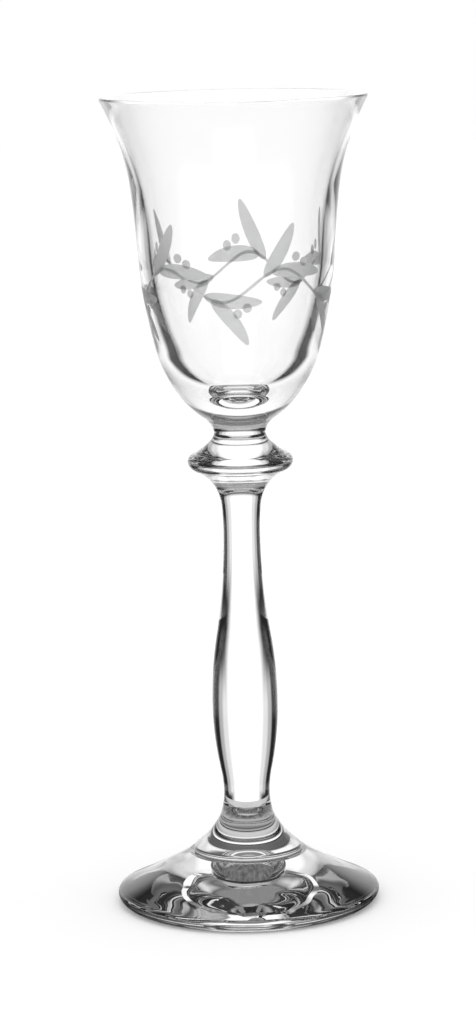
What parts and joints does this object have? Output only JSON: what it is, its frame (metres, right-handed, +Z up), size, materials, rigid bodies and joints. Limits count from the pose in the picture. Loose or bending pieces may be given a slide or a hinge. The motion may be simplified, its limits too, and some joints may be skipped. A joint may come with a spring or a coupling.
{
  "type": "cordial glass",
  "caption": "Small stemmed cordial glass in clear glass: flared bowl on a thick floor, knop, baluster stem with collars, and a sloped round foot.",
  "frame": {"origin": "centre of the ring that the foot rests on, on the table plane", "axes": "+Z up along the axis that every piece is turned about; X and Y lie in the table plane"},
  "size_m": [0.0548, 0.0548, 0.168],
  "materials": {
    "clear_glass": "clear colourless glass, fire-polished",
    "cut_band": "frosted grey, left matt by the engraver's wheel"
  },
  "bodies": {
    "root": {"foot": "clear_glass", "foot_collar": "clear_glass", "stem": "clear_glass", "knop": "clear_glass", "bowl_collar": "clear_glass", "bowl": "clear_glass"}
  },
  "joints": []
}
